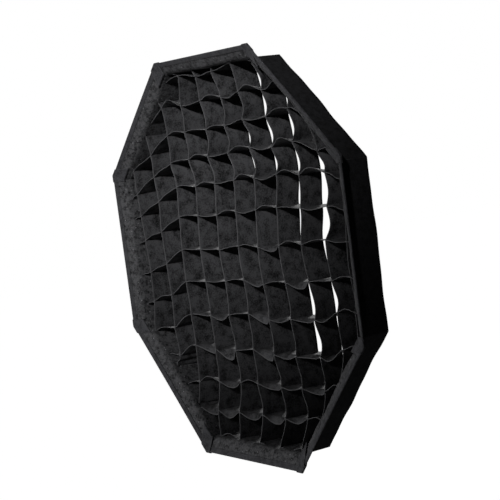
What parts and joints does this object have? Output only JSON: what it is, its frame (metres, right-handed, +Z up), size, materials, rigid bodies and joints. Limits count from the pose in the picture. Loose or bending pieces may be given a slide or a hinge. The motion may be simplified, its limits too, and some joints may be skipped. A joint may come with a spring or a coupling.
{
  "type": "softbox honeycomb grid",
  "caption": "Black fabric honeycomb grid for an octagonal softbox, with a sloping hook-and-loop border.",
  "frame": {"origin": "middle of the bounding box: the octagon's centre, half way through the depth", "axes": "+Z up as the grid hangs on an upright softbox, -Y out of the front, +X to the right as seen from behind the origin looking along +Y"},
  "size_m": [0.6034, 0.062, 0.6034],
  "materials": {
    "grid_fabric": "matte black woven fabric with cut edges",
    "border_fabric": "matte black brushed loop fabric",
    "binding_tape": "black woven binding tape",
    "hook_tape": "black hook tape with a slight sheen",
    "webbing": "black ribbed webbing"
  },
  "bodies": {
    "left_side": {"border_panel_upper_right": "border_fabric", "hook_tape_upper_right": "hook_tape", "skirt_panel_upper_right": "border_fabric", "border_panel_top": "border_fabric", "hook_tape_top": "hook_tape", "skirt_panel_top": "border_fabric", "border_panel_upper_left": "border_fabric", "hook_tape_upper_left": "hook_tape", "skirt_panel_upper_left": "border_fabric", "border_panel_left": "border_fabric", "hook_tape_left": "hook_tape", "skirt_panel_left": "border_fabric", "border_panel_lower_left": "border_fabric", "hook_tape_lower_left": "hook_tape", "skirt_panel_lower_left": "border_fabric", "border_panel_bottom": "border_fabric", "hook_tape_bottom": "hook_tape", "skirt_panel_bottom": "border_fabric", "border_panel_lower_right": "border_fabric", "hook_tape_lower_right": "hook_tape", "skirt_panel_lower_right": "border_fabric", "edge_binding_left": "binding_tape", "edge_binding_upper": "binding_tape", "edge_binding_lower": "binding_tape", "corner_tab_top_right": "webbing", "corner_tab_top_left": "webbing", "corner_tab_left_upper": "webbing", "corner_tab_left_lower": "webbing", "corner_tab_bottom_left": "webbing", "corner_tab_bottom_right": "webbing", "row_strip_01": "grid_fabric", "row_strip_02": "grid_fabric", "row_strip_03": "grid_fabric", "row_strip_04": "grid_fabric", "row_strip_05": "grid_fabric", "row_strip_06": "grid_fabric", "row_strip_07": "grid_fabric", "row_strip_08": "grid_fabric", "row_strip_09": "grid_fabric", "row_strip_10": "grid_fabric", "row_strip_11": "grid_fabric", "row_strip_12": "grid_fabric", "row_strip_13": "grid_fabric"},
    "right_side": {"border_panel_right": "border_fabric", "hook_tape_right": "hook_tape", "skirt_panel_right": "border_fabric", "edge_binding_right": "binding_tape", "corner_tab_right_upper": "webbing", "corner_tab_right_lower": "webbing"},
    "column_01": {"column_strip_01": "grid_fabric"},
    "column_02": {"column_strip_02": "grid_fabric"},
    "column_03": {"column_strip_03": "grid_fabric"},
    "column_04": {"column_strip_04": "grid_fabric"},
    "column_05": {"column_strip_05": "grid_fabric"},
    "column_06": {"column_strip_06": "grid_fabric"},
    "column_07": {"column_strip_07": "grid_fabric"},
    "column_08": {"column_strip_08": "grid_fabric"},
    "column_09": {"column_strip_09": "grid_fabric"},
    "column_10": {"column_strip_10": "grid_fabric"},
    "column_11": {"column_strip_11": "grid_fabric"}
  },
  "joints": [
    {"name": "gather", "type": "slide", "parent": "left_side", "child": "right_side", "axis": [-1, 0, 0], "range_m": [0, 0.4467], "deforming": ["border_panel_upper_right", "hook_tape_upper_right", "skirt_panel_upper_right", "border_panel_top", "hook_tape_top", "skirt_panel_top", "border_panel_upper_left", "hook_tape_upper_left", "skirt_panel_upper_left", "border_panel_lower_left", "hook_tape_lower_left", "skirt_panel_lower_left", "border_panel_bottom", "hook_tape_bottom", "skirt_panel_bottom", "border_panel_lower_right", "hook_tape_lower_right", "skirt_panel_lower_right", "edge_binding_upper", "edge_binding_lower", "corner_tab_top_right", "corner_tab_top_left", "corner_tab_bottom_left", "corner_tab_bottom_right", "row_strip_01", "row_strip_02", "row_strip_03", "row_strip_04", "row_strip_05", "row_strip_06", "row_strip_07", "row_strip_08", "row_strip_09", "row_strip_10", "row_strip_11", "row_strip_12", "row_strip_13"]},
    {"name": "gather_column_01", "type": "slide", "parent": "left_side", "child": "column_01", "axis": [-1, 0, 0], "range_m": [0, 0.0131]},
    {"name": "gather_column_02", "type": "slide", "parent": "left_side", "child": "column_02", "axis": [-1, 0, 0], "range_m": [0, 0.0552]},
    {"name": "gather_column_03", "type": "slide", "parent": "left_side", "child": "column_03", "axis": [-1, 0, 0], "range_m": [0, 0.0973]},
    {"name": "gather_column_04", "type": "slide", "parent": "left_side", "child": "column_04", "axis": [-1, 0, 0], "range_m": [0, 0.1393]},
    {"name": "gather_column_05", "type": "slide", "parent": "left_side", "child": "column_05", "axis": [-1, 0, 0], "range_m": [0, 0.1814]},
    {"name": "gather_column_06", "type": "slide", "parent": "left_side", "child": "column_06", "axis": [-1, 0, 0], "range_m": [0, 0.2235]},
    {"name": "gather_column_07", "type": "slide", "parent": "left_side", "child": "column_07", "axis": [-1, 0, 0], "range_m": [0, 0.2656]},
    {"name": "gather_column_08", "type": "slide", "parent": "left_side", "child": "column_08", "axis": [-1, 0, 0], "range_m": [0, 0.3077]},
    {"name": "gather_column_09", "type": "slide", "parent": "left_side", "child": "column_09", "axis": [-1, 0, 0], "range_m": [0, 0.3497]},
    {"name": "gather_column_10", "type": "slide", "parent": "left_side", "child": "column_10", "axis": [-1, 0, 0], "range_m": [0, 0.3918]},
    {"name": "gather_column_11", "type": "slide", "parent": "left_side", "child": "column_11", "axis": [-1, 0, 0], "range_m": [0, 0.4339]}
  ],
  "couplings": [
    {"joint": "gather_column_01", "follows": "gather", "ratio": 0.02901},
    {"joint": "gather_column_02", "follows": "gather", "ratio": 0.12321},
    {"joint": "gather_column_03", "follows": "gather", "ratio": 0.21741},
    {"joint": "gather_column_04", "follows": "gather", "ratio": 0.3116},
    {"joint": "gather_column_05", "follows": "gather", "ratio": 0.4058},
    {"joint": "gather_column_06", "follows": "gather", "ratio": 0.5},
    {"joint": "gather_column_07", "follows": "gather", "ratio": 0.5942},
    {"joint": "gather_column_08", "follows": "gather", "ratio": 0.6884},
    {"joint": "gather_column_09", "follows": "gather", "ratio": 0.78259},
    {"joint": "gather_column_10", "follows": "gather", "ratio": 0.87679},
    {"joint": "gather_column_11", "follows": "gather", "ratio": 0.97099}
  ]
}
